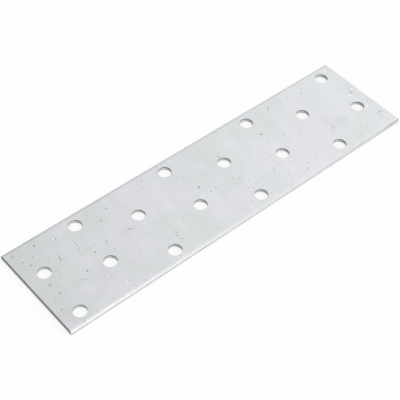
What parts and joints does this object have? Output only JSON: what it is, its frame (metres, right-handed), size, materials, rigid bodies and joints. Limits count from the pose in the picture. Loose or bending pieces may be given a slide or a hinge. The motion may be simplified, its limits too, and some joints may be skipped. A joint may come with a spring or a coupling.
{
  "type": "mending plate",
  "caption": "Flat galvanised steel mending plate: a thin rectangular strip with staggered punched nail holes, nailed or screwed over a joint between timbers.",
  "frame": {"origin": "on the underside, below the middle of the plate", "axes": "+X along the plate's length, +Y across its width, +Z out of the face with the rolled rims"},
  "size_m": [0.1546, 0.04, 0.0015],
  "materials": {
    "galvanised_sheet": "galvanised sheet steel, pale satin grey, with bare sheared edges"
  },
  "bodies": {
    "root": {"mending_plate": "galvanised_sheet"}
  },
  "joints": []
}
